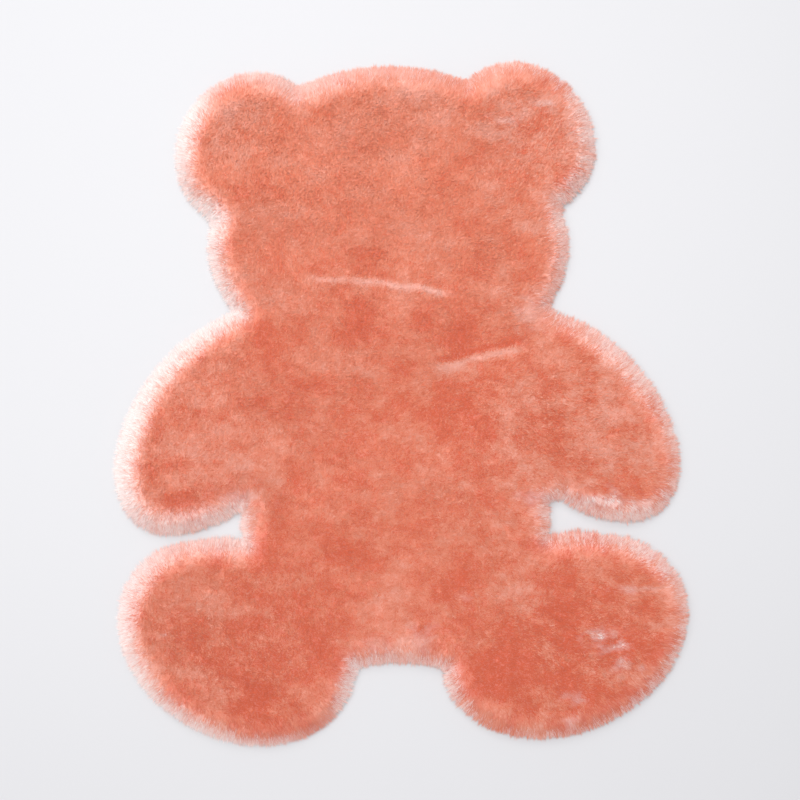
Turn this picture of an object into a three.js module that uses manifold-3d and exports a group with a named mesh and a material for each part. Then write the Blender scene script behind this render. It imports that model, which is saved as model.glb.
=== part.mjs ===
// A bear-shaped fur rug for a child's room, lying flat: one cut panel of long-pile fur fabric.
// Millimetres, +Z up. X runs across the rug, Y from the feet to the head, and the floor is z = 0.
import * as THREE from 'three';
import { mergeVertices } from 'three/addons/utils/BufferGeometryUtils.js';
import Module from 'manifold-3d';

// Pile
const pileHeight = 24; // floor to the mean top of the pile, with the backing
const rimWall = 7; // height at which the rim starts to curve over
const rimRound = 30; // how far in from the rim the pile is still curving
const rimRise = 21; // height of that curve
const rimSteps = 3; // facets in it
const outlineSteps = 210; // points round the outline

// Locks of pile that stand out round the rim
const lockCount = 236;
const lockReach = 10; // how far a lock stands out past the slab
const lockRoot = 10; // how deep it is rooted in the slab
const lockSides = 4;
const lockUneven = 0.45; // share of the reach that varies from lock to lock
const lockSwing = 0.5; // most that a lock turns to either side, in radians
const lockRows = [
  { name: 'lower', middle: 6.5, wide: 30, tall: 12 },
  { name: 'upper', middle: 12, wide: 24, tall: 14 },
];

// Lumps in the top of the pile
const lumpCell = 17; // spacing of the points that are raised
const lumps = [
  { name: 'broad', wave: 310, crossWave: 243, turn: 22, rise: 1.4 },
  { name: 'patch', wave: 171, crossWave: 137, turn: 71, rise: 1.2 },
  { name: 'tuft', wave: 83, crossWave: 101, turn: 47, rise: 0.9 },
];

// Partings, where the pile falls away to both sides of a line, and fainter marks of old folds
const partings = [
  { name: 'neck', fromX: -128, fromY: 165, toX: 68, toY: 143, half: 15, deep: 4.5 },
  { name: 'chest', fromX: 48, fromY: 51, toX: 170, toY: 80, half: 15, deep: 4 },
  { name: 'left fold', fromX: -194, fromY: 120, toX: -196, toY: -190, half: 14, deep: 1.6 },
  { name: 'upper streak', fromX: 62, fromY: 6, toX: 190, toY: 14, half: 16, deep: 1.8 },
  { name: 'middle streak', fromX: 74, fromY: -58, toX: 205, toY: -46, half: 16, deep: 1.8 },
  { name: 'lower streak', fromX: 58, fromY: -118, toX: 186, toY: -112, half: 16, deep: 1.6 },
];

// The outline, counter-clockwise: each lobe is a stretch of an oval, turned by some degrees,
// from its notch (notchX, notchY) to the notch of the next one. A hollow lobe bends inwards.
const lobes = [
  { name: 'crown', x: -16, y: 259, rx: 232, ry: 187, turn: 0, notchX: 84, notchY: 428 },
  { name: 'left ear', x: -204, y: 333, rx: 107, ry: 97, turn: 60, notchX: -142, notchY: 417 },
  { name: 'left cheek', x: -19, y: 203, rx: 241, ry: 166, turn: 0, notchX: -254, notchY: 240 },
  { name: 'left arm', x: -247, y: -29, rx: 172, ry: 107, turn: 52, notchX: -225, notchY: 119 },
  { name: 'left flank', x: -6, y: -163, rx: 209, ry: 257, turn: 0, notchX: -215, notchY: -147 },
  { name: 'left leg', x: -219, y: -317, rx: 165, ry: 129, turn: -28, notchX: -214, notchY: -182 },
  { name: 'hem', x: -8, y: -480, rx: 170, ry: 133, turn: 0, notchX: -63, notchY: -354, hollow: true },
  { name: 'right leg', x: 212, y: -308, rx: 172, ry: 131, turn: 24, notchX: 50, notchY: -356 },
  { name: 'right flank', x: -6, y: -157, rx: 203, ry: 257, turn: 0, notchX: 197, notchY: -174 },
  { name: 'right arm', x: 236, y: -22, rx: 164, ry: 103, turn: -50, notchX: 197, notchY: -136 },
  { name: 'right cheek', x: -19, y: 203, rx: 241, ry: 166, turn: 0, notchX: 194, notchY: 130 },
  { name: 'right ear', x: 158, y: 349, rx: 108, ry: 95, turn: -55, notchX: 210, notchY: 257 },
];

const wasm = await Module();
wasm.setup();

// A value from 0 to 1 that looks random but is the same each time
function uneven(index, salt) {
  const wave = Math.sin(index * 12.9898 + salt * 78.233) * 43758.5453;
  return wave - Math.floor(wave);
}

function toSolid(geometry) {
  const bare = geometry.clone();
  bare.deleteAttribute('normal');
  bare.deleteAttribute('uv');
  const merged = mergeVertices(bare, 1e-4);
  const vertProperties = new Float32Array(merged.attributes.position.array);
  const triVerts = new Uint32Array(merged.index.array);
  return new wasm.Manifold(new wasm.Mesh({ numProp: 3, vertProperties, triVerts }));
}

function toGeometry(solid) {
  const mesh = solid.getMesh();
  const geometry = new THREE.BufferGeometry();
  geometry.setAttribute('position', new THREE.BufferAttribute(mesh.vertProperties, 3));
  geometry.setIndex(new THREE.BufferAttribute(mesh.triVerts, 1));
  return geometry;
}

// The angle on a lobe's oval that points at a notch
function angleTowards(lobe, notchX, notchY) {
  const arm = new THREE.Vector2(notchX - lobe.x, notchY - lobe.y);
  arm.rotateAround(new THREE.Vector2(), -THREE.MathUtils.degToRad(lobe.turn));
  return Math.atan2(arm.y / lobe.ry, arm.x / lobe.rx);
}

function rugOutline() {
  const path = new THREE.Path();
  lobes.forEach((lobe, index) => {
    const next = lobes[(index + 1) % lobes.length];
    const start = angleTowards(lobe, lobe.notchX, lobe.notchY);
    const end = angleTowards(lobe, next.notchX, next.notchY);
    const turn = THREE.MathUtils.degToRad(lobe.turn);
    path.absellipse(lobe.x, lobe.y, lobe.rx, lobe.ry, start, end, lobe.hollow === true, turn);
  });
  path.closePath();
  return path;
}

// The outline drawn up from the floor, with its upper edge curving over
function roundedSlab(outline) {
  const points = outline.getSpacedPoints(outlineSteps).slice(0, -1);
  const geometry = new THREE.ExtrudeGeometry(new THREE.Shape(points), {
    depth: 2 * rimWall,
    bevelEnabled: true,
    bevelSize: rimRound,
    bevelOffset: -rimRound - lockReach,
    bevelThickness: rimRise,
    bevelSegments: rimSteps,
  });
  geometry.translate(0, 0, -rimWall);
  return toSolid(geometry);
}

function lumpRise(x, y) {
  return lumps.reduce((rise, lump) => {
    const turn = THREE.MathUtils.degToRad(lump.turn);
    const along = x * Math.cos(turn) + y * Math.sin(turn);
    const across = y * Math.cos(turn) - x * Math.sin(turn);
    const swell = Math.sin((2 * Math.PI * along) / lump.wave);
    return rise + lump.rise * swell * Math.cos((2 * Math.PI * across) / lump.crossWave);
  }, 0);
}

function partingFall(x, y) {
  const spot = new THREE.Vector3(x, y, 0);
  const nearest = new THREE.Vector3();
  return partings.reduce((fall, parting) => {
    const from = new THREE.Vector3(parting.fromX, parting.fromY, 0);
    const to = new THREE.Vector3(parting.toX, parting.toY, 0);
    new THREE.Line3(from, to).closestPointToPoint(spot, true, nearest);
    const away = spot.distanceTo(nearest) / parting.half;
    return fall + parting.deep * Math.exp(-away * away);
  }, 0);
}

// A block over the whole rug and well below the floor, whose top has the lumps and the partings
function lumpyBlock(size, middle) {
  const across = Math.ceil(size.x / lumpCell);
  const along = Math.ceil(size.y / lumpCell);
  const geometry = new THREE.BoxGeometry(size.x, size.y, 2 * pileHeight, across, along, 1);
  geometry.translate(middle.x, middle.y, 0);
  const position = geometry.attributes.position;
  for (let i = 0; i < position.count; i += 1) {
    const x = position.getX(i);
    const y = position.getY(i);
    const raised = position.getZ(i) > 0 ? lumpRise(x, y) - partingFall(x, y) : 0;
    position.setZ(i, position.getZ(i) + raised);
  }
  return toSolid(geometry);
}

// Everything above the floor
function aboveFloor(size, middle) {
  const geometry = new THREE.BoxGeometry(size.x, size.y, 2 * pileHeight);
  geometry.translate(middle.x, middle.y, pileHeight);
  return toSolid(geometry);
}

// One lock: a four-sided point, rooted in the rim and leaning out and to one side
function rimLock(outline, index) {
  const share = (index + 0.6 * uneven(index, 1)) / lockCount;
  const rim = outline.getPointAt(share % 1);
  const way = outline.getTangentAt(share % 1);
  const out = Math.atan2(-way.x, way.y) + lockSwing * (2 * uneven(index, 2) - 1);
  const reach = lockReach * (1 - lockUneven * uneven(index, 3));
  const row = lockRows[index % lockRows.length];
  const length = lockRoot + reach;
  const geometry = new THREE.ConeGeometry(row.wide / 2, length, lockSides);
  geometry.scale(1, 1, row.tall / row.wide);
  geometry.rotateZ(out - Math.PI / 2);
  const inset = lockReach + lockRoot - length / 2;
  geometry.translate(rim.x - inset * way.y, rim.y + inset * way.x, row.middle);
  return toSolid(geometry);
}

function furPanel() {
  const outline = rugOutline();
  const box = new THREE.Box2().setFromPoints(outline.getSpacedPoints(outlineSteps));
  const size = box.getSize(new THREE.Vector2());
  const centre = box.getCenter(new THREE.Vector2());
  let solid = roundedSlab(outline);
  solid = solid.intersect(lumpyBlock(size, centre));
  solid = solid.intersect(aboveFloor(size, centre));
  for (let index = 0; index < lockCount; index += 1) {
    solid = solid.add(rimLock(outline, index));
  }
  const geometry = toGeometry(solid);
  geometry.computeBoundingBox();
  const middle = geometry.boundingBox.getCenter(new THREE.Vector3());
  geometry.translate(-middle.x, -middle.y, 0);
  geometry.computeVertexNormals();
  return geometry;
}

const coralFur = new THREE.MeshStandardMaterial({
  name: 'coral_fur',
  color: 0xe08a6e,
  roughness: 0.9,
  metalness: 0,
});

const rug = new THREE.Group();
rug.name = 'bear_rug';

const panel = new THREE.Mesh(furPanel(), coralFur);
panel.name = 'fur_panel';
rug.add(panel);

export default rug;
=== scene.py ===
import math

import bpy
import numpy as np
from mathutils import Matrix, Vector
from mathutils.bvhtree import BVHTree
from mathutils.geometry import delaunay_2d_cdt
from mathutils.kdtree import KDTree


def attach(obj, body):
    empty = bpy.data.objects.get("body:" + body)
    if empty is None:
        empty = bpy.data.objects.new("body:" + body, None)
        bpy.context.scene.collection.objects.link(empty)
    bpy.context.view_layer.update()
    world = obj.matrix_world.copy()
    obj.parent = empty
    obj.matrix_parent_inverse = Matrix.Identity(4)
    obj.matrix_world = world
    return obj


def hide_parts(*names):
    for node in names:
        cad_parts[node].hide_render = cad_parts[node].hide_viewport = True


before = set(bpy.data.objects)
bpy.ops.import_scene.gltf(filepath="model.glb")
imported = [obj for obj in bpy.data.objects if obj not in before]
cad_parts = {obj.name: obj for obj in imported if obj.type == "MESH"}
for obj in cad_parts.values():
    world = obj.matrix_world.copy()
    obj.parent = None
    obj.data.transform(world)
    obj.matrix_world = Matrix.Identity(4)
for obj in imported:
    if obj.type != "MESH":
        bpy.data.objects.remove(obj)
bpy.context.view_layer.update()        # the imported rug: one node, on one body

mm = 0.001
farAway = 9.0            # metres, more than any distance on the rug
least = 1e-9             # keeps a division from failing
chance = np.random.default_rng(41)       # draws for the fibres, in order


# Shader sums: a socket that can be added and multiplied
class Value:
    def __init__(self, finish, socket):
        self.finish = finish
        self.socket = socket

    def maths(self, operation, first, second):
        return self.finish.node("ShaderNodeMath", {"operation": operation}, {0: first, 1: second})

    def __add__(self, other):
        return self.maths("ADD", self, other)

    def __radd__(self, other):
        return self.maths("ADD", other, self)

    def __mul__(self, other):
        return self.maths("MULTIPLY", self, other)

    def __rmul__(self, other):
        return self.maths("MULTIPLY", other, self)


# A material and the nodes behind it
class Finish:
    def __init__(self, name):
        self.material = bpy.data.materials.new(name)
        self.material.use_nodes = True
        self.tree = self.material.node_tree
        self.shader = self.tree.nodes["Principled BSDF"]

    def node(self, kind, settings=None, inputs=None, output=0):
        node = self.tree.nodes.new(kind)
        for key, value in (settings or {}).items():
            if key == "stops":
                self.setStops(node.color_ramp, value)
            else:
                setattr(node, key, value)
        self.feed(node, inputs or {})
        return Value(self, node.outputs[output])

    def setStops(self, ramp, stops):
        while len(ramp.elements) < len(stops):
            ramp.elements.new(0.5)
        for element, (place, colour) in zip(ramp.elements, stops):
            element.position = place
            element.color = (*colour, 1)

    def feed(self, node, inputs):
        for key, value in inputs.items():
            if isinstance(value, Value):
                self.tree.links.new(value.socket, node.inputs[key])
            elif hasattr(value, "__len__") and len(value) == 3 and node.inputs[key].type == "RGBA":
                node.inputs[key].default_value = (*value, 1)
            else:
                node.inputs[key].default_value = value

    def blend(self, share, first, second):
        return self.node(
            "ShaderNodeMix", {"data_type": "RGBA"}, {0: share, 6: first, 7: second}, output=2
        )

    def surface(self, **inputs):
        self.feed(self.shader, {key.replace("_", " "): value for key, value in inputs.items()})
        return self.material


def ease(value, low, high):
    share = np.clip((value - low) / (high - low), 0, 1)
    return share * share * (3 - 2 * share)


# The value between four neighbours in a grid
def between(grid, i, j, shareX, shareY):
    low = grid[j, i] * (1 - shareX) + grid[j, i + 1] * shareX
    high = grid[j + 1, i] * (1 - shareX) + grid[j + 1, i + 1] * shareX
    return low * (1 - shareY) + high * shareY


noise = {
    "size": 256,             # points across the lattice, which then repeats
    "start": 100,            # keeps every place on its positive side
    "gain": 1.5,             # makes up for the smoothing
}


# Smooth noise of about -1 to 1 on a lattice, with its own waves across and along
def latticeNoise(x, y, waveX, waveY, seed):
    size = noise["size"]
    lattice = np.random.default_rng(seed).uniform(-1, 1, (size, size))
    u = x / waveX + noise["start"]
    v = y / waveY + noise["start"]
    i = np.floor(u).astype(int)
    j = np.floor(v).astype(int)
    shareX = ease(u - i, 0, 1)
    shareY = ease(v - j, 0, 1)
    return between(lattice, i % (size - 1), j % (size - 1), shareX, shareY) * noise["gain"]


# Rows listed one by one: each has a name, and its numbers stand under the headings given first
def table(headings, rows):
    return [dict(zip(headings.split(), numbers)) for numbers in rows.values()]


# How far each spot is from the middle of a row's oval, squared: 1 is on the oval
def fromOval(row, x, y):
    return ((x / mm - row["x"]) / row["wide"]) ** 2 + ((y / mm - row["y"]) / row["tall"]) ** 2


# Maps of the rug, read off the slab: depth inside the rim, way out to the rim, height of the top
mapSizes = {
    "cell": 2 * mm,          # spacing of the maps
    "margin": 20 * mm,       # floor round the rug that they cover
    "heightStep": 2,         # heights are read at every second spot
    "softening": 6,          # passes that smooth the way out
    "slopeSoftening": 14,    # and the slope of the top
    "weld": 1e-6,            # points of the slab nearer than this are one
    "flat": 0.01 * mm,       # and lower than this are on the floor
    "edge": 1.001,           # readings stop this many spots before the end
}
rimFall = {
    "outside": 13 * mm,      # the pile falls towards the floor until this far past the slab
    "inside": 17 * mm,       # starting from this far inside it
    "low": 3 * mm,           # height of its lowest tips
    "high": 22.5 * mm,
    "lumps": 0.35,           # share of the slab's lumps that the tips follow
    "lumpsFrom": 6 * mm,
    "lumpsTo": 28 * mm,
}


# The slab's points and triangles, with points that share a place merged
def slabArrays(mesh):
    places = np.empty(len(mesh.vertices) * 3)
    mesh.vertices.foreach_get("co", places)
    mesh.calc_loop_triangles()
    corners = np.empty(len(mesh.loop_triangles) * 3, dtype=np.int32)
    mesh.loop_triangles.foreach_get("vertices", corners)
    weld = mapSizes["weld"]
    welded = np.round(places.reshape(-1, 3) / weld).astype(np.int64)
    shared, which = np.unique(welded, axis=0, return_inverse=True)
    return shared * weld, which.reshape(-1)[corners].reshape(-1, 3)


# The closed line along which the slab meets the floor, counter-clockwise
def floorLine(points, triangles):
    flat = triangles[(points[triangles][:, :, 2] < mapSizes["flat"]).all(axis=1)]
    edges = np.concatenate([flat[:, [0, 1]], flat[:, [1, 2]], flat[:, [2, 0]]])
    known = {(int(a), int(b)) for a, b in edges}
    following = {a: b for a, b in known if (b, a) not in known}
    start = min(following)
    line = [start]
    while following[line[-1]] != start:
        line.append(following[line[-1]])
    line = points[line][:, :2]
    ahead = np.roll(line, -1, axis=0)
    turning = (line[:, 0] * ahead[:, 1] - ahead[:, 0] * line[:, 1]).sum()
    return line if turning > 0 else line[::-1]


# How far inside the floor line each spot is; below 0 is outside it
def depthInside(x, y, line):
    nearest = np.full(x.shape, farAway)
    inside = np.zeros(x.shape, dtype=bool)
    for (ax, ay), (bx, by) in zip(line, np.roll(line, -1, axis=0)):
        along = ((x - ax) * (bx - ax) + (y - ay) * (by - ay)) / ((bx - ax) ** 2 + (by - ay) ** 2)
        along = np.clip(along, 0, 1)
        away = np.hypot(x - ax - along * (bx - ax), y - ay - along * (by - ay))
        nearest = np.minimum(nearest, away)
        if ay != by:
            crossing = ((ay > y) != (by > y)) & (x < ax + (bx - ax) * (y - ay) / (by - ay))
            inside ^= crossing
    return np.where(inside, nearest, -nearest)


def smoothed(grid, passes):
    for _ in range(passes):
        padded = np.pad(grid, 1, mode="edge")
        grid = (
            2 * padded[1:-1, 1:-1] + padded[:-2, 1:-1] + padded[2:, 1:-1]
            + padded[1:-1, :-2] + padded[1:-1, 2:]
        ) / 6
    return grid


# Height of the pile, falling towards the rim, where its fibres fan out
def rimFallTop(depth):
    share = (depth + rimFall["outside"]) / (rimFall["outside"] + rimFall["inside"])
    share = 1 - (1 - np.clip(share, 0, 1)) ** 2
    return rimFall["low"] + (rimFall["high"] - rimFall["low"]) * share


class RugMap:
    def __init__(self, mesh):
        points, triangles = slabArrays(mesh)
        self.line = floorLine(points, triangles)
        self.ahead = np.roll(self.line, -1, axis=0)
        self.runs = np.hypot(*(self.ahead - self.line).T)
        cell = mapSizes["cell"]
        low = points.min(axis=0)[:2] - mapSizes["margin"]
        high = points.max(axis=0)[:2] + mapSizes["margin"]
        self.low = low
        self.xs = np.arange(low[0], high[0], cell)
        self.ys = np.arange(low[1], high[1], cell)
        x, y = np.meshgrid(self.xs, self.ys)
        self.depth = depthInside(x, y, self.line)
        slopeY, slopeX = np.gradient(smoothed(self.depth, mapSizes["softening"]))
        steep = np.maximum(np.hypot(slopeX, slopeY), least)
        self.outX = -slopeX / steep
        self.outY = -slopeY / steep
        fall = rimFallTop(self.depth)
        follow = rimFall["lumps"] * ease(self.depth, rimFall["lumpsFrom"], rimFall["lumpsTo"])
        self.top = fall + follow * (self.readTop(points, triangles) - fall)
        slopeY, slopeX = np.gradient(smoothed(self.top, mapSizes["slopeSoftening"]), cell)
        self.slopeX = slopeX
        self.slopeY = slopeY

    def readTop(self, points, triangles):
        tree = BVHTree.FromPolygons(points.tolist(), triangles.tolist())
        step = mapSizes["heightStep"]
        down = Vector((0, 0, -1))
        rows = []
        for y in self.ys[::step]:
            hits = [tree.ray_cast(Vector((x, y, 1)), down)[0] for x in self.xs[::step]]
            rows.append([hit.z if hit else 0.0 for hit in hits])
        coarse = np.array(rows)
        full = np.repeat(np.repeat(coarse, step, axis=0), step, axis=1)
        return smoothed(full[: len(self.ys), : len(self.xs)], mapSizes["softening"])

    def read(self, grid, x, y):
        edge = mapSizes["edge"]
        u = np.clip((x - self.low[0]) / mapSizes["cell"], 0, len(self.xs) - edge)
        v = np.clip((y - self.low[1]) / mapSizes["cell"], 0, len(self.ys) - edge)
        i = u.astype(int)
        j = v.astype(int)
        return between(grid, i, j, u - i, v - j)

    def readOut(self, x, y):
        return self.read(self.outX, x, y), self.read(self.outY, x, y)


rug = RugMap(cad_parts["fur_panel"].data)
print("maps read:", rug.depth.shape, "line of", len(rug.line), "points")


def newPiece(name, mesh, material):
    mesh.materials.append(material)
    piece = bpy.data.objects.new(name, mesh)
    bpy.context.scene.collection.objects.link(piece)
    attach(piece, "root")
    return piece


# Backing cloth: a closed sheet, cut a little inside the slab
backing = {
    "inset": 2.5 * mm,
    "thick": 2 * mm,
    "grain": 14 * mm,           # spacing of the points
    "cloth": (0.86, 0.78, 0.74),
    "threadDark": (0.72, 0.62, 0.58),
    "threadPitch": 1.6 * mm,
    "threadScale": 0.314,       # the wave texture's scale for a pitch of 1
    "threadBend": 1.5,
    "threadShare": 0.6,         # of the colour; the rest is mottling
    "mottleScale": 60.0,
    "relief": 0.4 * mm,
    "reliefStrength": 0.5,
    "rough": 0.95,
}


# A closed sheet over the rug's outline: a function gives its top, and its underside is flat
def laidSheet(name, inset, grain, topOf, undersideAt):
    way = rug.ahead - np.roll(rug.line, 1, axis=0)
    way /= np.maximum(np.hypot(way[:, 0], way[:, 1])[:, None], least)
    rim = rug.line + inset * np.stack([-way[:, 1], way[:, 0]], axis=1)
    x, y = np.meshgrid(
        np.arange(rug.xs[0], rug.xs[-1], grain), np.arange(rug.ys[0], rug.ys[-1], grain)
    )
    x = (x + 0.5 * grain * (np.arange(x.shape[0]) % 2)[:, None]).ravel()
    y = y.ravel()
    clear = 0.6 * grain       # between the rim and the points inside it
    keep = rug.read(rug.depth, x, y) > inset + clear
    spots = np.concatenate([rim, np.stack([x[keep], y[keep]], axis=1)])
    count = len(rim)
    edges = [(k, (k + 1) % count) for k in range(count)]
    insideOnly, closeness = 1, 1e-7
    flat, _, faces, *_ = delaunay_2d_cdt(spots.tolist(), edges, [], insideOnly, closeness)
    flat = np.array([tuple(spot) for spot in flat])
    top = np.column_stack([flat, topOf(flat[:, 0], flat[:, 1])])
    low = np.column_stack([flat, np.full(len(flat), undersideAt)])
    size = len(flat)
    sides = {(a, b) for face in faces for a, b in zip(face, face[1:] + face[:1])}
    border = sorted((a, b) for a, b in sides if (b, a) not in sides)
    shell = [list(face) for face in faces]
    shell += [[corner + size for corner in reversed(face)] for face in faces]
    shell += [[b, a, a + size, b + size] for a, b in border]
    mesh = bpy.data.meshes.new(name)
    mesh.from_pydata(np.concatenate([top, low]).tolist(), [], shell)
    mesh.polygons.foreach_set("use_smooth", [True] * len(mesh.polygons))
    mesh.update()
    return mesh


def backingTop(x, y):
    return np.full(len(x), backing["thick"])


def backingFinish():
    finish = Finish("backing_cloth")
    place = finish.node("ShaderNodeTexCoord", output=3)
    thread = finish.node(
        "ShaderNodeTexWave",
        {"wave_type": "BANDS", "bands_direction": "X", "wave_profile": "SIN"},
        {
            "Vector": place,
            "Scale": backing["threadScale"] / backing["threadPitch"],
            "Distortion": backing["threadBend"],
            "Detail": 2.0,
        },
        output=1,
    )
    mottle = finish.node(
        "ShaderNodeTexNoise",
        inputs={"Vector": place, "Scale": backing["mottleScale"], "Detail": 5.0},
    )
    share = backing["threadShare"]
    pattern = thread * share + mottle * (1 - share)
    colour = finish.blend(pattern, backing["threadDark"], backing["cloth"])
    bump = finish.node(
        "ShaderNodeBump",
        inputs={
            "Strength": backing["reliefStrength"],
            "Distance": backing["relief"],
            "Height": thread + mottle,
        },
    )
    return finish.surface(Base_Color=colour, Roughness=backing["rough"], Normal=bump)


backingMesh = laidSheet("backing", backing["inset"], backing["grain"], backingTop, 0.0)
backingPiece = newPiece("backing", backingMesh, backingFinish())
print("backing:", len(backingMesh.polygons), "faces")


# The pile: every fibre is a narrow leaf that stands up and then bends over with the nap
pile = {
    "spacing": 1.15 * mm,        # between roots
    "edge": 1 * mm,              # none of them is nearer the rim than this
    "rimFibres": 76000,          # more of them along the rim
    "rimLeast": 0.5 * mm,        # which they fill from here
    "rimInset": 16 * mm,         # to this far in
    "width": 1.0 * mm,
    "rimWidth": 0.64 * mm,
    "widthLow": 0.7,             # each fibre has between this share of the width and the other
    "widthHigh": 1.25,
    "root": 0.62,                # roots start at this share of the pile's height
    "rimRoot": 0.28,
    "rootGap": 0.5 * mm,         # and at least this far above the backing
    "bend": 0.46,                # share of the lean reached at the widest point
    "rise": 0.54,                # and of the height
    "tipLow": 0.86,              # fibres end between this share of the pile's height and the other
    "tipHigh": 1.03,
    "rimTipLower": 0.12,         # the lower one is less by this at the rim
    "stray": 0.30,               # how much each fibre goes its own way
    "rimTidy": 0.68,             # and how much less at the rim
    "leastLean": 0.45,           # no fibre stands straighter than this
    "leastRun": 0.01 * mm,       # or ends right above its root
    "turn": 0.4,                 # how far each fibre's face turns, in radians
    "tilt": 0.2,                 # and how far it tips to one side
    "tuft": 3 * mm,              # width of the tufts
    "tuftRepeat": 512,           # tufts across before their draws repeat
    "tuftPull": 0.12,
    "leastPull": 0.4,            # share of a pull that every fibre follows
    "tone": 0.5,                 # the middle of the dye
    "toneOwn": 0.15,             # how much it differs from fibre to fibre
    "toneTuft": 0.26,            # and from tuft to tuft
    "toneStreak": 0.35,          # and from streak to streak at the rim
}
nap = {
    "x": 0.24,                   # the pile lies to the right and a little up, per unit of height
    "y": 0.07,
    "swirl": 0.12,               # how far the combed patches turn it
    "swirlWave": 60 * mm,
    "ruffle": 0.05,
    "ruffleWave": 15 * mm,
    "rimFrom": 30 * mm,          # from here to the rim it turns outwards
    "rimTo": 3 * mm,
    "rimLess": 0.7,              # where its own lean is less by this share
}

# At the rim the pile falls outwards in streaks, each with its own reach
streaks = {
    "wide": 1.35 * mm,
    "waver": 0.9 * mm,           # how far their sides wander
    "waverWave": 5 * mm,
    "station": 0.5 * mm,         # how finely the way along the rim is measured
    "repeat": 4096,              # streaks before their draws repeat
    "lock": 8 * mm,              # neighbours that reach out together
    "reachLow": 8 * mm,          # past the slab
    "reachHigh": 17 * mm,
    "leastReach": 1 * mm,
    "leftMore": 3 * mm,          # further on the left
    "point": 0.5,                # how far each streak narrows to a point
    "own": 0.9,                  # share of the reach that is the streak's own, not its lock's
    "depthShare": 0.25,          # deeper roots reach further
    "pull": 0.9,                 # how far fibres gather at the middle of their streak
    "middle": 0.3,               # which is between this share of its width
    "middleVary": 0.4,           # and this much more
    "loose": 1.5 * mm,           # how far each fibre falls short of its streak
    "softFrom": -160 * mm,       # left of here the streaks are softer than right of the other
    "softTo": 180 * mm,
    "soft": 0.55,
    "slitLook": 18 * mm,         # where another side is nearer than twice this
    "slitFrom": 0.95,            # more or less so, between these shares of it
    "slitTo": 0.7,
    "slitShort": 0.32,           # the streaks are shorter by up to this share
    "armShort": 0.45,            # and under the arms by this share of that
    "armFrom": 0.2,              # how far the rim faces the feet there
    "armTo": 0.8,
    "slitSoft": 40,              # passes that smooth where that starts
    "slitY": -160 * mm,          # between the arms and the legs
    "slitTall": 70 * mm,
}

# Lines where the pile is parted, in millimetres: it falls away to both sides and shows its pale roots.
# Beside each line the tone is painted lighter on one side and darker on the other, a painted highlight
# and painted shade of the pile falling away.
partings = [
    {"name": "neck left", "fromX": -132, "fromY": 163, "toX": -38, "toY": 163, "half": 3.8, "push": 0.16,
     "pale": 0.10, "paleSide": 0, "light": 0.35, "paintedLightSide": -0.5, "paintedShade": -0.12, "paintedShadeSide": 1.6},
    {"name": "neck right", "fromX": -62, "fromY": 163, "toX": 72, "toY": 143, "half": 3.8, "push": 0.20,
     "pale": 0.20, "paleSide": 0, "light": 0.55, "paintedLightSide": -0.6, "paintedShade": -0.20, "paintedShadeSide": 1.7},
    {"name": "chest", "fromX": 42, "fromY": 52, "toX": 162, "toY": 82, "half": 3.8, "push": 0.0,
     "pale": 0.08, "paleSide": -2.2, "light": 0.45, "paintedLightSide": -2.3, "paintedShade": -1.0, "paintedShadeSide": 0.3},
]
partingLook = {
    "waver": 2.2 * mm,           # how far the lines wander
    "waverWave": 24 * mm,
    "fadeIn": 0.2,               # share of a line over which each end fades
    "fadeOut": 0.06,             # and how far that starts past the end
    "pushFade": 0.25,            # how fast the push dies away to the sides
    "paintedLightWide": 1.4,            # the painted highlight is this much wider than the painted shade
}


# How far along a parting each spot is (faded at both ends) and how far to its side
def besideParting(row, x, y):
    ax, ay = row["fromX"] * mm, row["fromY"] * mm
    bx, by = row["toX"] * mm, row["toY"] * mm
    run = math.hypot(bx - ax, by - ay)
    along = ((x - ax) * (bx - ax) + (y - ay) * (by - ay)) / run ** 2
    fadeIn, fadeOut = partingLook["fadeIn"], partingLook["fadeOut"]
    ends = ease(along, -fadeOut, fadeIn) * (1 - ease(along, 1 - fadeIn, 1 + fadeOut))
    normalX, normalY = -(by - ay) / run, (bx - ax) / run
    wave = partingLook["waverWave"]
    waver = partingLook["waver"] * latticeNoise(x, y, wave, wave, 31)
    side = ((x - ax) * normalX + (y - ay) * normalY + waver) / (row["half"] * mm)
    return ends, side, normalX, normalY


def partingPush(x, y):
    pushX = np.zeros(x.shape)
    pushY = np.zeros(x.shape)
    for row in partings:
        ends, side, normalX, normalY = besideParting(row, x, y)
        push = row["push"] * ends * np.tanh(side) * np.exp(-partingLook["pushFade"] * side * side)
        pushX += push * normalX
        pushY += push * normalY
    return pushX, pushY


def leanAt(x, y):
    depth = rug.read(rug.depth, x, y)
    pushX, pushY = partingPush(x, y)
    wave, fine = nap["swirlWave"], nap["ruffleWave"]
    leanX = nap["x"] + nap["swirl"] * latticeNoise(x, y, wave, wave, 11) + pushX
    leanY = nap["y"] + nap["swirl"] * latticeNoise(x, y, wave, wave, 12) + pushY
    leanX += nap["ruffle"] * latticeNoise(x, y, fine, fine, 13)
    leanY += nap["ruffle"] * latticeNoise(x, y, fine, fine, 14)
    rim = 1 - ease(depth, nap["rimTo"], nap["rimFrom"])
    kept = 1 - nap["rimLess"] * rim
    return leanX * kept, leanY * kept, rim


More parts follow.
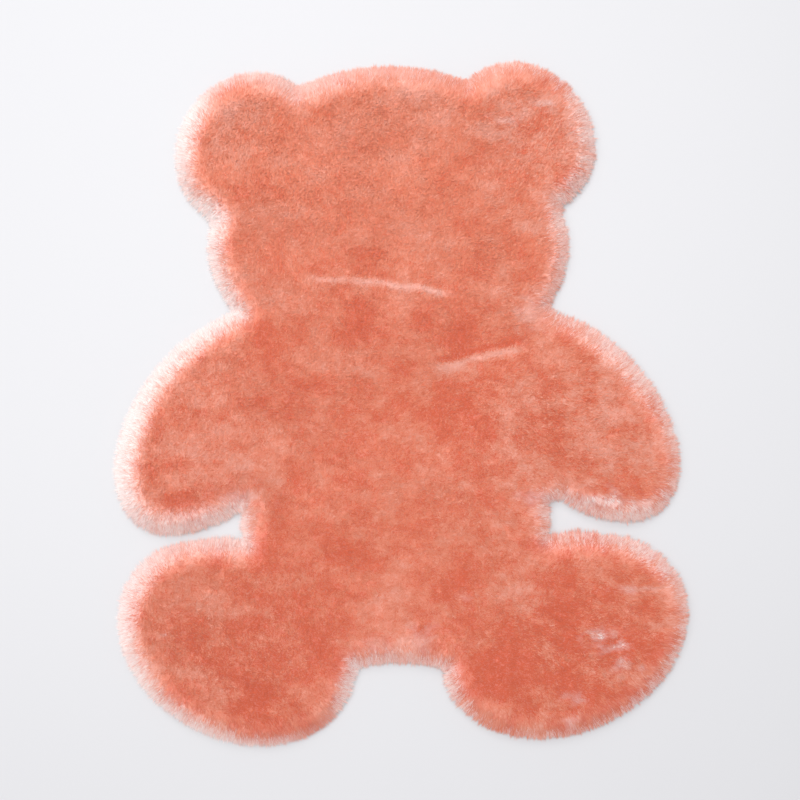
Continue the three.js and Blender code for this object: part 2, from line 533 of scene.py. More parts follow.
# The middle of the tuft that each spot belongs to, and a number from 0 to 1 for that tuft
def tuftsAt(x, y):
    size = pile["tuft"]
    repeat = pile["tuftRepeat"]
    draws = np.random.default_rng(17).uniform(0, 1, (repeat, repeat, 3))
    cellX = np.floor(x / size).astype(int)
    cellY = np.floor(y / size).astype(int)
    nearest = np.full(x.shape, farAway)
    middleX = np.zeros(x.shape)
    middleY = np.zeros(x.shape)
    odds = np.zeros(x.shape)
    for stepX in (-1, 0, 1):
        for stepY in (-1, 0, 1):
            i, j = cellX + stepX, cellY + stepY
            draw = draws[j % repeat, i % repeat]
            atX, atY = (i + draw[..., 0]) * size, (j + draw[..., 1]) * size
            away = np.hypot(x - atX, y - atY)
            closer = away < nearest
            nearest = np.where(closer, away, nearest)
            middleX = np.where(closer, atX, middleX)
            middleY = np.where(closer, atY, middleY)
            odds = np.where(closer, draw[..., 2], odds)
    return middleX, middleY, odds


# For spots near the rim: how far each is along it
def alongRim(x, y):
    starts = np.concatenate([[0], np.cumsum(rug.runs)])
    stations = np.arange(0, starts[-1], streaks["station"])
    pick = np.searchsorted(starts, stations, side="right") - 1
    share = ((stations - starts[pick]) / rug.runs[pick])[:, None]
    spots = rug.line[pick] * (1 - share) + rug.ahead[pick] * share
    tree = KDTree(len(spots))
    for index, (spotX, spotY) in enumerate(spots):
        tree.insert((spotX, spotY, 0), index)
    tree.balance()
    return stations[[tree.find((atX, atY, 0))[1] for atX, atY in zip(x, y)]]


# 0 on the left side of the rug, 1 on the right
def rightward(x):
    return ease(x, streaks["softFrom"], streaks["softTo"])


def crispAt(x):
    return streaks["soft"] + (1 - streaks["soft"]) * rightward(x)


# Map of the slits between arms and legs: 1 where the rim faces another side close by, else 0
def slitMap():
    x, y = np.meshgrid(rug.xs, rug.ys)
    look = streaks["slitLook"]
    lookX = x + (look + rug.depth) * rug.outX
    lookY = y + (look + rug.depth) * rug.outY
    seen = rug.read(rug.depth, lookX, lookY)
    faced = ease(seen, -streaks["slitFrom"] * look, -streaks["slitTo"] * look)
    faced *= np.exp(-(((y - streaks["slitY"]) / streaks["slitTall"]) ** 2))
    underArm = ease(-rug.outY, streaks["armFrom"], streaks["armTo"])
    faced *= 1 - (1 - streaks["armShort"]) * underArm
    return smoothed(faced, streaks["slitSoft"])


# The streak each spot near the rim belongs to: its reach, how far off its middle is, and its odds
def streaksAt(x, y):
    repeat, wave = streaks["repeat"], streaks["waverWave"]
    draws = np.random.default_rng(19).uniform(0, 1, (repeat, 3))
    along = alongRim(x, y)
    shaken = along + streaks["waver"] * latticeNoise(x, y, wave, wave, 35)
    index = np.floor(shaken / streaks["wide"]).astype(int)
    draw = draws[index % repeat]
    lock = draws[np.floor(shaken / streaks["lock"]).astype(int) % repeat, 2]
    share = streaks["own"] * draw[:, 0] + (1 - streaks["own"]) * lock
    crisp = crispAt(x)
    share = 0.5 + (share - 0.5) * crisp
    off = abs(2 * (shaken / streaks["wide"] - index) - 1)
    share *= 1 - streaks["point"] * off * crisp
    reach = streaks["reachLow"] + (streaks["reachHigh"] - streaks["reachLow"]) * share
    reach += streaks["leftMore"] * (1 - rightward(x))
    reach *= 1 - streaks["slitShort"] * rug.read(slits, x, y)
    middle = (index + streaks["middle"] + streaks["middleVary"] * draw[:, 1]) * streaks["wide"]
    return reach, (middle - along) * crisp, draw[:, 0]


# Stretches of the rim, in millimetres: how far in it is pale, how pale, and the dye left at its edge.
# The pale is mostly the undyed roots; under the arms and under the left ear it is raised further as
# painted light over their shade.
rimBands = table("x y wide pale edge", {
    "left ear, side": (-292, 331, 29, 0.96, 0.10),
    "left ear, low": (-284, 288, 16, 0.78, 0.06),
    "left ear, under": (-246, 246, 27, 0.97, 0.04),
    "left ear, top": (-205, 434, 16, 0.54, 0.12),
    "left ear, notch": (-136, 414, 25, 0.47, 0.16),
    "crown": (-20, 442, 23, 0.37, 0.20),
    "right ear, notch": (82, 428, 16, 0.40, 0.10),
    "right ear, top": (170, 447, 14, 0.47, 0.0),
    "right ear, side": (258, 345, 24, 0.68, 0.0),
    "right ear, under": (214, 262, 22, 0.62, 0.0),
    "right cheek": (222, 205, 22, 0.60, 0.0),
    "right neck": (196, 130, 18, 0.50, 0.0),
    "right shoulder": (292, 60, 27, 0.60, 0.0),
    "right arm, side": (371, -80, 15, 0.58, 0.0),
    "right arm, under": (300, -156, 27, 0.92, 0.55),
    "right slit": (200, -154, 18, 0.62, 0.12),
    "right leg, top": (270, -176, 16, 0.52, 0.10),
    "right leg, side": (374, -290, 15, 0.62, 0.0),
    "right foot": (215, -440, 12, 0.50, 0.0),
    "right foot, inner": (106, -422, 11, 0.30, 0.0),
    "right leg, inside": (64, -370, 23, 0.98, 0.08),
    "right leg, notch": (40, -346, 15, 0.45, 0.0),
    "hem": (0, -346, 23, 0.46, 0.15),
    "left leg, inside": (-70, -370, 18, 0.88, 0.05),
    "left foot, inner": (-104, -426, 9, 0.25, 0.0),
    "left foot": (-180, -448, 14, 0.66, 0.0),
    "left foot, outer": (-264, -426, 20, 0.74, 0.0),
    "left leg, side": (-371, -300, 24, 0.88, 0.08),
    "left leg, upper side": (-350, -242, 28, 0.80, 0.08),
    "left leg, top": (-280, -190, 15, 0.48, 0.02),
    "left slit": (-208, -150, 18, 0.72, 0.10),
    "left arm, under": (-290, -166, 36, 0.68, 0.42),
    "left arm, side": (-374, -90, 30, 0.94, 0.10),
    "left shoulder": (-300, 64, 26, 0.90, 0.12),
    "left neck": (-222, 120, 20, 0.90, 0.10),
    "left cheek": (-252, 206, 20, 0.84, 0.08),
})
rimDye = {
    "spread": 45 * mm,           # how far along the rim one stretch blends into the next
    "blunt": 0.05,               # rounds off the middle of a stretch
    "fade": 2,                   # how fast it gives way to its neighbours
    "leastWeight": 1e-12,        # keeps the sums from dividing by nothing
    "bandFrom": 0.3,             # the pale band fades between these shares of its width
    "bandTo": 1.55,
    "outside": 10 * mm,          # pile that lies past the slab
    "edgeWide": 8 * mm,          # the outermost tips
    "tuftSlide": 6 * mm,         # tufts carry their dye this far out or in
    "fibreSlide": 8 * mm,        # and single fibres outwards
    "slideBack": 0.5,            # less this share of it
    "parted": 0.75,              # how far pale and coral strands keep apart on the right
    "softParted": 0.30,          # and on the left
    "partedSoft": 0.22,          # how softly one turns into the other
    "lotLow": 0.1,               # the lot that makes a strand pale or coral
    "lotSpan": 0.8,
    "lotTuft": 0.45,             # share of it that the whole tuft draws
    "strands": 0.65,             # dye of the strongest coral strands among the pale ones
    "strandPower": 4,            # the higher, the fewer of them
    "deep": 0.05,                # painted shade: the coral beside the pale rim is darkened on the left
    "leastDye": 0.25,            # of the palest strands on the right
}

# Pale places inside the rim, in millimetres
paleSpots = table("x y wide tall pale", {
    "right ear, middle": (189, 393, 14, 4, 0.35),
    "right ear, inner": (136, 372, 11, 5, 0.32),
    "right ear, outer": (224, 353, 11, 7, 0.22),
    "left ear, nick": (-194, 430, 8, 4, 0.56),
    "right leg, white": (261, -306, 12, 5, 0.48),
    "right leg, strand": (281, -320, 12, 5, 0.50),
    "right leg, patch": (288, -340, 10, 7, 0.34),
    "right leg, speck": (314, -347, 5, 5, 0.3),
    "right leg, outer": (298, -245, 12, 3.5, 0.3),
    "right leg, rim": (322, -243, 13, 3, 0.3),
    "right foot, speck": (233, -388, 5, 5, 0.3),
    "right foot, strand": (213, -384, 8, 2.5, 0.26),
    "right foot, nick": (222, -423, 6, 9, 0.38),
    "right hip, speck": (84, -256, 6, 4, 0.2),
    "left leg, nick": (-308, -304, 5, 2.5, 0.38),
    "right neck, mark": (169, 120, 14, 18, 0.20),
    "right arm, under": (262, -129, 33, 8, 0.56),
    "left slit, corner": (-212, -124, 22, 10, 0.30),
    "hem, left": (-27, -318, 24, 14, 0.15),
    "hem, right": (25, -311, 20, 14, 0.22),
    "right flank": (172, -128, 18, 11, 0.28),
})
spotLook = {
    "ragged": 1.1,               # how uneven the spots' edges are
    "raggedX": 9 * mm,
    "raggedY": 6 * mm,
    "raggedLeast": -0.75,
    "slideX": 0.25,              # share of the rim's slide that moves them
    "slideY": 0.1,
    "wisps": 0.5,                # how far the palest break up into strands
    "wispsFrom": 0.2,            # more or less so, between these shares of white
    "wispsTo": 0.4,
    "wispsLot": 0.9,             # share of a strand's lot that counts
    "wispsSoft": 0.15,
}


# Map of how pale the rim is
def rimPaleMap():
    x, y = np.meshgrid(rug.xs, rug.ys)
    total = np.full(x.shape, rimDye["leastWeight"])
    sums = {key: np.zeros(x.shape) for key in ("wide", "pale", "edge")}
    for row in rimBands:
        away = ((x - row["x"] * mm) ** 2 + (y - row["y"] * mm) ** 2) / rimDye["spread"] ** 2
        weight = np.exp(-np.sqrt(away + rimDye["blunt"]) * rimDye["fade"])
        total += weight
        for key in sums:
            sums[key] += weight * row[key]
    wide, pale, edge = (sums[key] / total for key in ("wide", "pale", "edge"))
    inside = rug.depth + rimDye["outside"]
    band = 1 - ease(inside, rimDye["bandFrom"] * wide * mm, rimDye["bandTo"] * wide * mm)
    tips = 1 - ease(inside, 0, rimDye["edgeWide"])
    return pale * band * (1 - edge * tips)


# Map of the pale partings and spots
def markPaleMap():
    x, y = np.meshgrid(rug.xs, rug.ys)
    pale = np.zeros(x.shape)
    for row in partings:
        ends, side, _, _ = besideParting(row, x, y)
        pale = np.maximum(pale, row["pale"] * ends * np.exp(-((side - row["paleSide"]) ** 2)))
    ragged = latticeNoise(x, y, spotLook["raggedX"], spotLook["raggedY"], 33)
    ragged = np.maximum(spotLook["ragged"] * ragged, spotLook["raggedLeast"])
    for row in paleSpots:
        spot = np.exp(-fromOval(row, x, y) * (1 + ragged))
        pale = np.maximum(pale, row["pale"] * spot)
    return pale


# Soft patches that are darker or lighter than the rest, in millimetres: some are the dye's own patches,
# others are painted light and shade, darker through the middle, the legs and under the arms and lighter
# on the crown, the arms and the shoulders, as the light falls.
dyeAndPaintedLight = table("x y wide tall tone", {
    "middle of the rug": (0, -60, 190, 190, -0.14),
    "crown": (-20, 380, 120, 60, 0.10),
    "left arm": (-275, -30, 70, 90, 0.16),
    "left leg": (-200, -340, 120, 90, -0.35),
    "left heel": (-185, -370, 45, 38, -0.22),
    "left leg, inner": (-112, -342, 20, 28, -0.20),
    "left leg, upper": (-315, -245, 35, 25, 0.12),
    "right leg": (190, -335, 120, 90, -0.55),
    "right leg, inner": (120, -370, 45, 35, -0.26),
    "right leg, middle": (205, -300, 22, 14, -0.14),
    "right leg, outer": (310, -263, 20, 13, -0.28),
    "right leg, low": (315, -315, 16, 16, -0.14),
    "right foot": (255, -390, 18, 14, -0.12),
    "right leg, light": (160, -255, 32, 24, 0.24),
    "left arm, low": (-298, -126, 36, 12, -0.42),
    "left arm, low inner": (-244, -113, 34, 9, -0.20),
    "left arm, light": (-250, -60, 28, 30, 0.14),
    "right arm, low": (325, -121, 28, 16, -0.30),
    "right arm, light": (262, -25, 40, 40, 0.20),
    "right arm, dark": (205, -60, 28, 20, -0.16),
    "right shoulder": (185, 38, 24, 18, -0.14),
    "chest, right": (82, 88, 44, 24, -0.40),
    "chest, left": (-62, 112, 30, 28, -0.26),
    "chest, far left": (-184, 75, 16, 22, -0.26),
    "chest, side": (-140, 95, 50, 22, -0.14),
    "under the parting": (100, 45, 60, 9, 0.12),
    "belly, left": (-110, -10, 70, 60, -0.08),
    "belly, middle": (4, -88, 36, 60, 0.19),
    "belly, right": (88, -50, 60, 60, -0.28),
    "belly, low right": (78, -225, 48, 24, -0.22),
    "belly, low left": (-75, -200, 34, 18, -0.14),
    "belly, low": (-6, -250, 22, 40, 0.22),
    "left flank": (-190, -235, 18, 45, -0.14),
    "head, low": (-56, 193, 26, 16, -0.24),
    "head, low left": (-170, 165, 36, 18, -0.16),
    "head, left": (-168, 280, 40, 18, -0.18),
    "head, upper left": (-172, 360, 34, 20, -0.14),
    "head, right": (76, 235, 30, 60, -0.12),
    "head, middle": (-8, 250, 45, 60, 0.06),
    "head, spot": (-104, 303, 16, 16, 0.12),
    "right ear, dark": (181, 358, 14, 12, -0.18),
    "right ear": (185, 330, 70, 70, 0.04),
    "left ear": (-225, 340, 60, 60, 0.03),
    "left ear, upper": (-228, 374, 20, 20, 0.54),
    "crown, left": (-100, 378, 42, 14, -0.20),
    "crown, right": (24, 411, 36, 14, 0.50),
    "right ear, inner": (144, 343, 28, 12, 0.32),
    "right ear, upper": (160, 389, 36, 13, 0.28),
    "right ear, side": (226, 338, 15, 28, 0.34),
    "right ear, low": (176, 272, 24, 18, 0.24),
    "right cheek": (188, 200, 18, 18, 0.16),
    "head, far right": (119, 215, 14, 36, 0.18),
    "head, side": (-180, 271, 14, 26, -0.12),
    "right shoulder, pale": (228, 24, 24, 16, 0.36),
    "right shoulder, upper": (262, 52, 24, 18, 0.44),
    "right shoulder, outer": (301, 12, 18, 24, 0.48),
    "left shoulder, upper": (-278, 45, 12, 16, 0.28),
    "left shoulder, outer": (-308, 8, 12, 18, 0.28),
    "right arm, middle": (267, -76, 18, 16, -0.16),
    "right arm, inner": (176, -80, 18, 16, -0.12),
    "right hip": (115, -177, 46, 14, -0.18),
    "right leg, upper": (302, -230, 26, 12, 0.22),
    "right leg, low inner": (80, -290, 36, 16, -0.20),
    "right leg, low middle": (241, -374, 20, 12, 0.16),
    "right leg, streak": (155, -295, 14, 24, 0.14),
    "belly, upper right": (67, 8, 26, 9, 0.14),
    "chest, low right": (126, 38, 18, 12, 0.14),
    "belly, crease": (38, -28, 20, 10, 0.14),
    "belly, lower": (-2, -158, 24, 30, 0.12),
    "left leg, inner top": (-230, -240, 26, 12, 0.16),
    "left leg, low outer": (-296, -326, 28, 26, 0.26),
    "left leg, outer": (-325, -256, 20, 16, 0.20),
    "left foot, inner": (-108, -374, 24, 18, -0.15),
    "left foot, middle": (-246, -388, 18, 16, -0.16),
    "left leg, middle": (-180, -340, 30, 18, -0.12),
    "left arm, outer": (-288, -66, 22, 16, -0.12),
    "left arm, inner": (-222, -62, 16, 14, 0.14),
})
# Mottling of the tone in waves of these sizes, in millimetres: partly the dye's unevenness, partly
# painted light and shade standing in for the way the pile's lean catches the light
mottlesAndPaintedLight = table("waveX waveY tone seed", {
    "broad": (58, 46, 0.09, 21),
    "patch": (27, 21, 0.15, 22),
    "brushed": (30, 11, 0.06, 23),
    "fine": (7, 5, 0.14, 24),
})

# Places where the mottling is stronger, or weaker below 0, in millimetres
lively = table("x y wide tall more", {
    "head": (-15, 290, 160, 120, -0.45),
    "left arm": (-280, -40, 90, 110, 0.5),
    "right ear": (175, 355, 80, 80, 0.9),
    "right arm": (270, -40, 110, 110, 0.8),
    "right leg": (230, -320, 130, 110, 1.1),
    "left leg": (-220, -330, 130, 100, 0.7),
    "right belly": (120, -40, 80, 100, 0.5),
})


def livelyAt(x, y):
    more = np.zeros(x.shape)
    for row in lively:
        more += row["more"] * np.exp(-fromOval(row, x, y))
    return more


# Tone of the coral at each spot: the dye's own patches, with painted light and shade mixed in
def toneAt(x, y):
    mottle = np.zeros(x.shape)
    for row in mottlesAndPaintedLight:
        mottle += row["tone"] * latticeNoise(x, y, row["waveX"] * mm, row["waveY"] * mm, row["seed"])
    tone = pile["tone"] + (1 + livelyAt(x, y)) * mottle
    for row in dyeAndPaintedLight:
        tone += row["tone"] * np.exp(-fromOval(row, x, y))
    for row in partings:
        ends, side, _, _ = besideParting(row, x, y)
        # Painted shade and painted highlight beside each parting
        tone += row["paintedShade"] * ends * np.exp(-((side - row["paintedShadeSide"]) ** 2))
        beside = (side - row["paintedLightSide"]) / partingLook["paintedLightWide"]
        tone += row["light"] * ends * np.exp(-(beside ** 2))
    return tone


# Roots on a shaken grid inside the slab, and more along the rim
def fibreRoots():
    x, y = np.meshgrid(
        np.arange(rug.xs[0], rug.xs[-1], pile["spacing"]),
        np.arange(rug.ys[0], rug.ys[-1], pile["spacing"]),
    )
    x = x.ravel() + chance.uniform(-0.5, 0.5, x.size) * pile["spacing"]
    y = y.ravel() + chance.uniform(-0.5, 0.5, y.size) * pile["spacing"]
    keep = rug.read(rug.depth, x, y) > pile["edge"]
    pick = chance.choice(len(rug.runs), pile["rimFibres"], p=rug.runs / rug.runs.sum())
    along = chance.uniform(0, 1, pile["rimFibres"])[:, None]
    rim = rug.line[pick] * (1 - along) + rug.ahead[pick] * along
    inset = chance.uniform(pile["rimLeast"], pile["rimInset"], pile["rimFibres"])
    outX, outY = rug.readOut(rim[:, 0], rim[:, 1])
    rimX = rim[:, 0] - inset * outX
    rimY = rim[:, 1] - inset * outY
    return np.concatenate([x[keep], rimX]), np.concatenate([y[keep], rimY])


# Where each fibre ends, and a number from 0 to 1 for its tuft or its streak
def fibreTips(root, leanX, leanY, rim):
    x, y, rootZ = root.T
    count = len(x)
    stray = pile["stray"] * (1 - pile["rimTidy"] * rim)
    leanX += stray * chance.normal(0, 1, count)
    leanY += stray * chance.normal(0, 1, count)
    height = rug.read(rug.top, x, y) - rootZ
    middleX, middleY, odds = tuftsAt(x, y)
    pull = pile["tuftPull"] * (1 - rim) * chance.uniform(pile["leastPull"], 1, count)
    tipX = x + leanX * height + pull * (middleX - x)
    tipY = y + leanY * height + pull * (middleY - y)
    near = rim > 0
    reach = np.zeros(count)
    aside = np.zeros(count)
    reach[near], aside[near], odds[near] = streaksAt(x[near], y[near])
    reach -= abs(chance.normal(0, streaks["loose"], count)) / crispAt(x)
    outX, outY = rug.readOut(x, y)
    out = rim * np.maximum(reach + streaks["depthShare"] * rug.read(rug.depth, x, y), 0)
    aside *= rim * streaks["pull"] * chance.uniform(pile["leastPull"], 1, count)
    tipX += out * outX - aside * outY
    tipY += out * outY + aside * outX
    past = -rug.read(rug.depth, tipX, tipY) - np.maximum(reach, streaks["leastReach"])
    past = np.maximum(past, 0)       # tips that reach too far are drawn back
    tipX -= past * rug.read(rug.outX, tipX, tipY)
    tipY -= past * rug.read(rug.outY, tipX, tipY)      # read after the step across
    tipZ = rug.read(rug.top, tipX, tipY)
    tipZ *= chance.uniform(pile["tipLow"] - pile["rimTipLower"] * rim, pile["tipHigh"], count)
    run = np.maximum(np.hypot(tipX - x, tipY - y), pile["leastRun"])
    grow = np.maximum(pile["leastLean"] * (tipZ - rootZ) / run, 1)
    tip = np.stack([x + grow * (tipX - x), y + grow * (tipY - y), tipZ], axis=1)
    return tip, odds


# Four points a fibre: root, both sides of its widest place, and tip
def fibreLeaves(root, tip, rim):
    count = len(root)
    way = tip - root
    half = root + np.array([pile["bend"], pile["bend"], pile["rise"]]) * way
    half[:, 2] = np.maximum(half[:, 2], backing["thick"])
    facing = np.arctan2(way[:, 1], way[:, 0]) + np.pi / 2 + chance.normal(0, pile["turn"], count)
    tilt = chance.normal(0, pile["tilt"], count)
    side = np.stack([np.cos(facing), np.sin(facing), tilt], axis=1)
    side /= np.linalg.norm(side, axis=1)[:, None]
    width = pile["width"] * (1 - rim) + pile["rimWidth"] * rim
    width *= chance.uniform(pile["widthLow"], pile["widthHigh"], count)
    wide = 0.5 * width[:, None] * side
    normal = fibreNormals(tip, way, side)
    turned = np.einsum("ij,ij->i", np.cross(side, tip - half), normal) < 0
    wide[turned] *= -1
    return np.stack([root, half - wide, half + wide, tip], axis=1), normal


def fibreTone(x, y, odds, rim):
    own = (1 + livelyAt(x, y)) * chance.normal(0, pile["toneOwn"], len(x))
    tone = toneAt(x, y) + own + pile["toneTuft"] * (odds - 0.5)
    tone += pile["toneStreak"] * rim * (odds - 0.5)
    beside = 4 * rim * (1 - rim)     # 1 beside the rim, 0 on it and away from it
    # Painted shade: darkens the coral just inside the pale rim on the left
    tone -= rimDye["deep"] * beside * (1 - rightward(x))
    return np.clip(tone, dyeRange["toneLow"], dyeRange["toneHigh"])


def growFibres():
    x, y = fibreRoots()
    leanX, leanY, rim = leanAt(x, y)
    share = pile["root"] * (1 - rim) + pile["rimRoot"] * rim
    rootZ = np.maximum(share * rug.read(rug.top, x, y), backing["thick"] + pile["rootGap"])
    root = np.stack([x, y, rootZ], axis=1)
    tip, odds = fibreTips(root, leanX, leanY, rim)
    places, normal = fibreLeaves(root, tip, rim)
    tone = fibreTone(x, y, odds, rim)
    dye = fibreDye(places, odds, rim)
    return places, normal, tone, dye


shading = {
    "slope": 0.1,                # how far the light follows the slope of the pile
    "own": 0.1,                  # and each fibre's own face
    "scatter": 0.05,
    "livelyScatter": 0.12,
}


# The way each fibre faces the light: mostly with the pile, a little with its own face
def fibreNormals(tip, run, side):
    count = len(tip)
    face = np.cross(side, run)
    face /= np.linalg.norm(face, axis=1)[:, None]
    face *= np.where(face[:, 2] < 0, -1, 1)[:, None]
    slopeX = rug.read(rug.slopeX, tip[:, 0], tip[:, 1])
    slopeY = rug.read(rug.slopeY, tip[:, 0], tip[:, 1])
    normal = np.stack([-shading["slope"] * slopeX, -shading["slope"] * slopeY, np.ones(count)], axis=1)
    scatter = shading["scatter"] + shading["livelyScatter"] * livelyAt(tip[:, 0], tip[:, 1])
    normal += shading["own"] * face + scatter[:, None] * chance.normal(0, 1, (count, 3))
    return normal / np.linalg.norm(normal, axis=1)[:, None]


# Full dye along a fibre, by its points, and how much less of it there is at the rim
dyeAlong = table("point full rimLess", {
    "root": (0, 0.85, 0.4),
    "widest place": (1, 0.95, 0.15),
    "tip": (3, 1.0, 0.0),
})
dyeRange = {
    "toneLow": 0.02,
    "toneHigh": 0.98,
    "low": 0.03,
    "high": 0.97,
    "step": 0.02,                # least difference along a fibre
    "spread": 0.002,             # difference in tone across it
}


# Dye at the root, the widest place and the tip: 0 is white, 1 is full coral
def fibreDye(places, odds, rim):
    right = rightward(places[:, 0, 0])
    slide = (2 * odds - 1) * rimDye["tuftSlide"] * crispAt(places[:, 0, 0])
    slide += abs(chance.normal(0, rimDye["fibreSlide"], len(odds)))
    slide -= rimDye["slideBack"] * rimDye["fibreSlide"]
    draw = chance.uniform(0, 1, len(odds))
    strand = rimDye["strands"] * draw ** rimDye["strandPower"]
    lot = rimDye["lotTuft"] * odds + (1 - rimDye["lotTuft"]) * draw
    lot = rimDye["lotLow"] + rimDye["lotSpan"] * lot
    parted = rimDye["softParted"] * (1 - right) + rimDye["parted"] * right
    partedSoft, wispsSoft = rimDye["partedSoft"], spotLook["wispsSoft"]
    wispsLot = spotLook["wispsLot"] * lot
    levels = []
    for row in dyeAlong:
        x, y, _ = places[:, row["point"]].T
        outX, outY = rug.readOut(x, y)
        band = rug.read(rimPale, x - slide * outX, y - slide * outY)
        band += parted * (ease(band, lot - partedSoft, lot + partedSoft) - band)
        band *= 1 - rimDye["leastDye"] * right
        marks = rug.read(markPale, x + spotLook["slideX"] * slide, y + spotLook["slideY"] * slide)
        wisps = spotLook["wisps"] * ease(marks, spotLook["wispsFrom"], spotLook["wispsTo"])
        marks += wisps * (ease(marks, wispsLot - wispsSoft, wispsLot + wispsSoft) - marks)
        full = row["full"] - row["rimLess"] * rim
        level = full * (1 - np.maximum(band, marks) * (1 - strand))
        levels.append(np.clip(level, dyeRange["low"], dyeRange["high"]))
    root, half, tip = levels
    step = dyeRange["step"]
    root = np.where(abs(half - root) < step, half - step, root)
    tip = np.where(abs(tip - half) < step, half + step, tip)
    return np.stack([root, half, half, tip], axis=1)


coral = {
    "deep": (0.70, 0.110, 0.037),
    "middle": (0.775, 0.226, 0.117),
    "light": (0.835, 0.365, 0.268),
    "undyed": (0.99, 0.955, 0.945),
    "rough": 0.8,
    "gloss": 0.12,
    "sheen": 0.15,
    "sheenRough": 0.5,
}


def furFinish():
    finish = Finish("coral_fur")
    place = finish.node("ShaderNodeUVMap", {"uv_map": "OFBake"})
    tone = finish.node("ShaderNodeSeparateXYZ", inputs={0: place}, output=0)
    dye = finish.node("ShaderNodeSeparateXYZ", inputs={0: place}, output=1)
    stops = [(0.0, coral["deep"]), (0.5, coral["middle"]), (1.0, coral["light"])]
    dyed = finish.node("ShaderNodeValToRGB", {"stops": stops}, {0: tone})
    colour = finish.blend(dye, coral["undyed"], dyed)
    return finish.surface(
        Base_Color=colour,
        Roughness=coral["rough"],
        Specular_IOR_Level=coral["gloss"],
        Sheen_Weight=coral["sheen"],
        Sheen_Roughness=coral["sheenRough"],
    )


def fibreMesh(name, places, normal, tone, dye):
    count = len(places)
    mesh = bpy.data.meshes.new(name)
    mesh.vertices.add(count * 4)
    mesh.vertices.foreach_set("co", places.astype(np.float32).ravel())
    first = np.arange(count)[:, None] * 4
    corners = (first + np.array([0, 2, 1, 1, 2, 3])).ravel()
    mesh.loops.add(count * 6)
    mesh.loops.foreach_set("vertex_index", corners.astype(np.int32))
    mesh.polygons.add(count * 2)
    mesh.polygons.foreach_set("loop_start", (np.arange(count * 2) * 3).astype(np.int32))
    mesh.update(calc_edges=True)
    mesh.polygons.foreach_set("use_smooth", np.ones(count * 2, dtype=bool))
    u = tone[:, None] + dyeRange["spread"] * np.array([0, -1, 1, 0])
    uv = np.stack([u, dye], axis=2).reshape(-1, 2)[corners]
    layer = mesh.uv_layers.new(name="OFBake")
    layer.uv.foreach_set("vector", uv.astype(np.float32).ravel())
    mesh.normals_split_custom_set_from_vertices(np.repeat(normal, 4, axis=0).tolist())
    return mesh


# The dense underfur that fills the pile between the fibres
underfur = {
    "inset": 2 * mm,
    "share": 0.7,               # of the pile's height
    "rimHeight": 7 * mm,
    "rimRise": 1.3,             # how fast it rises from the rim
    "grain": 8 * mm,
    "rough": 1.2 * mm,          # tufts in its top
    "roughWave": 7 * mm,
    "dye": 0.86,
    "darker": 0.1,              # than the fibres
    "uneven": 0.02,             # how much both differ from point to point
}


def underfurTop(x, y):
    depth = np.maximum(rug.read(rug.depth, x, y), 0)
    full = rug.read(rug.top, x, y) * underfur["share"]
    tufts = latticeNoise(x, y, underfur["roughWave"], underfur["roughWave"], 5) * underfur["rough"]
    return np.minimum(full + tufts, underfur["rimHeight"] + underfur["rimRise"] * depth)


def makeUnderfur(material):
    mesh = laidSheet("underfur", underfur["inset"], underfur["grain"], underfurTop, backing["thick"])
    places = np.empty(len(mesh.vertices) * 3)
    mesh.vertices.foreach_get("co", places)
    x, y, _ = places.reshape(-1, 3).T
    corners = np.empty(len(mesh.loops), dtype=np.int32)
    mesh.loops.foreach_get("vertex_index", corners)
    pale = np.maximum(rug.read(rimPale, x, y), rug.read(markPale, x, y))
    uneven = underfur["uneven"]
    level = underfur["dye"] * (1 - pale) + chance.uniform(-uneven, uneven, len(x))
    shade = toneAt(x, y) - underfur["darker"] + chance.uniform(-uneven, uneven, len(x))
    uv = np.clip(np.stack([shade, level], axis=1), dyeRange["toneLow"], dyeRange["toneHigh"])[corners]
    layer = mesh.uv_layers.new(name="OFBake")
    layer.uv.foreach_set("vector", uv.astype(np.float32).ravel())
    print("underfur:", len(mesh.polygons), "faces")
    return newPiece("underfur", mesh, material)


# The pile is kept as one piece for each region of the bear, all with the same finish
regionEdges = {
    "crown": 270 * mm,           # heights on the rug
    "neck": 115 * mm,
    "waist": -70 * mm,
    "hip": -182 * mm,
    "leftLeg": -100 * mm,        # and places across it
    "rightLeg": 90 * mm,
    "leftArm": -200 * mm,
    "rightArm": 188 * mm,
}


# Each region takes what those before it have left
def regionsOf(x, y):
    legs = y < regionEdges["hip"]
    regions = {
        "fur_crown": y > regionEdges["crown"],
        "fur_cheeks": y > regionEdges["neck"],
        "fur_left_leg": legs & (x < regionEdges["leftLeg"]),
        "fur_right_leg": legs & (x > regionEdges["rightLeg"]),
        "fur_left_arm": x < regionEdges["leftArm"],
        "fur_right_arm": x > regionEdges["rightArm"],
        "fur_chest": y > regionEdges["waist"],
        "fur_belly": np.ones(x.shape, dtype=bool),
    }
    free = np.ones(x.shape, dtype=bool)
    for name, inside in regions.items():
        yield name, free & inside
        free &= ~inside


slits = slitMap()
rimPale = rimPaleMap()
markPale = markPaleMap()
places, normal, tone, dye = growFibres()
furMaterial = furFinish()
underfurPiece = makeUnderfur(furMaterial)
for name, chosen in regionsOf(places[:, 0, 0], places[:, 0, 1]):
    mesh = fibreMesh(name, places[chosen], normal[chosen], tone[chosen], dye[chosen])
    newPiece(name, mesh, furMaterial)
    print("pile:", name, int(chosen.sum()), "fibres")
print("pile:", len(places), "fibres in all")

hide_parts("fur_panel")
cutArea = 0.5 * abs((rug.line[:, 0] * rug.ahead[:, 1] - rug.ahead[:, 0] * rug.line[:, 1]).sum())
cutSize = rug.line.max(axis=0) - rug.line.min(axis=0)
print("cut:", cutSize.round(3), "m, area", round(float(cutArea), 3))


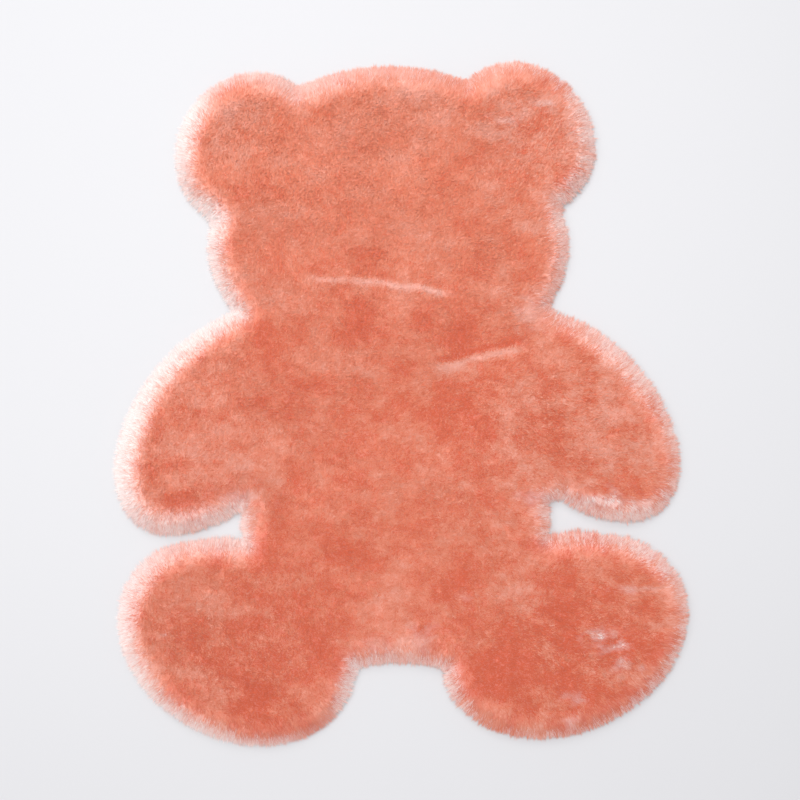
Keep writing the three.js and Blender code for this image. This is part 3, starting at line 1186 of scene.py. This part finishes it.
# Floor, light and camera
studio = {
    "floor": (0.642, 0.639, 0.654),
    "floorSize": 12,
    "floorRough": 0.6,
    "floorGloss": 0.2,
    "haze": 1.6,                 # faint clouds in the floor
    "hazeShare": 0.5,
    "hazeDark": 0.97,
    "sky": 0.4,
    "skyColour": (0.96, 0.97, 1),
}
lamps = [
    {"name": "key", "power": 72, "size": 1.4, "place": (-0.2, 0.45, 3.0)},
    {"name": "left", "power": 42, "size": 1.8, "place": (-3.6, 0.4, 3.6)},
    {"name": "far", "power": 52, "size": 1.8, "place": (-0.4, 3.6, 3.2)},
]
view = {
    "lens": 50,
    "away": 1.476,
    "aimX": -1 * mm,
    "aimY": 3 * mm,
    "lean": 1.2,                 # degrees from straight above, towards the feet
}


def makeFloor():
    mesh = bpy.data.meshes.new("floor")
    half = studio["floorSize"] / 2
    corners = [(-half, -half, 0), (half, -half, 0), (half, half, 0), (-half, half, 0)]
    mesh.from_pydata(corners, [], [(0, 1, 2, 3)])
    floor = bpy.data.objects.new("floor", mesh)
    bpy.context.scene.collection.objects.link(floor)
    finish = Finish("floor")
    place = finish.node("ShaderNodeTexCoord", output=3)
    haze = finish.node(
        "ShaderNodeTexNoise", inputs={"Vector": place, "Scale": studio["haze"], "Detail": 2.0}
    )
    shade = tuple(studio["hazeDark"] * part for part in studio["floor"])
    colour = finish.blend(haze * studio["hazeShare"], studio["floor"], shade)
    material = finish.surface(
        Base_Color=colour, Roughness=studio["floorRough"], Specular_IOR_Level=studio["floorGloss"]
    )
    mesh.materials.append(material)


def makeLights():
    world = bpy.data.worlds.new("studio")
    world.use_nodes = True
    sky = world.node_tree.nodes["Background"]
    sky.inputs["Color"].default_value = (*studio["skyColour"], 1)
    sky.inputs["Strength"].default_value = studio["sky"]
    bpy.context.scene.world = world
    for row in lamps:
        lamp = bpy.data.lights.new(row["name"], "AREA")
        lamp.shape = "DISK"
        lamp.size = row["size"]
        lamp.energy = row["power"]
        light = bpy.data.objects.new(row["name"], lamp)
        light.location = row["place"]
        light.rotation_euler = (-light.location).to_track_quat("-Z", "Y").to_euler()
        bpy.context.scene.collection.objects.link(light)


def makeCamera():
    lens = bpy.data.cameras.new("camera")
    lens.lens = view["lens"]
    camera = bpy.data.objects.new("camera", lens)
    lean = math.radians(view["lean"])
    camera.location = (
        view["aimX"], view["aimY"] - view["away"] * math.sin(lean), view["away"] * math.cos(lean)
    )
    camera.rotation_euler = (lean, 0, 0)
    bpy.context.scene.collection.objects.link(camera)
    bpy.context.scene.camera = camera


makeFloor()
makeLights()
makeCamera()
bpy.context.scene.view_settings.view_transform = "Standard"
print("floor, light and camera made")
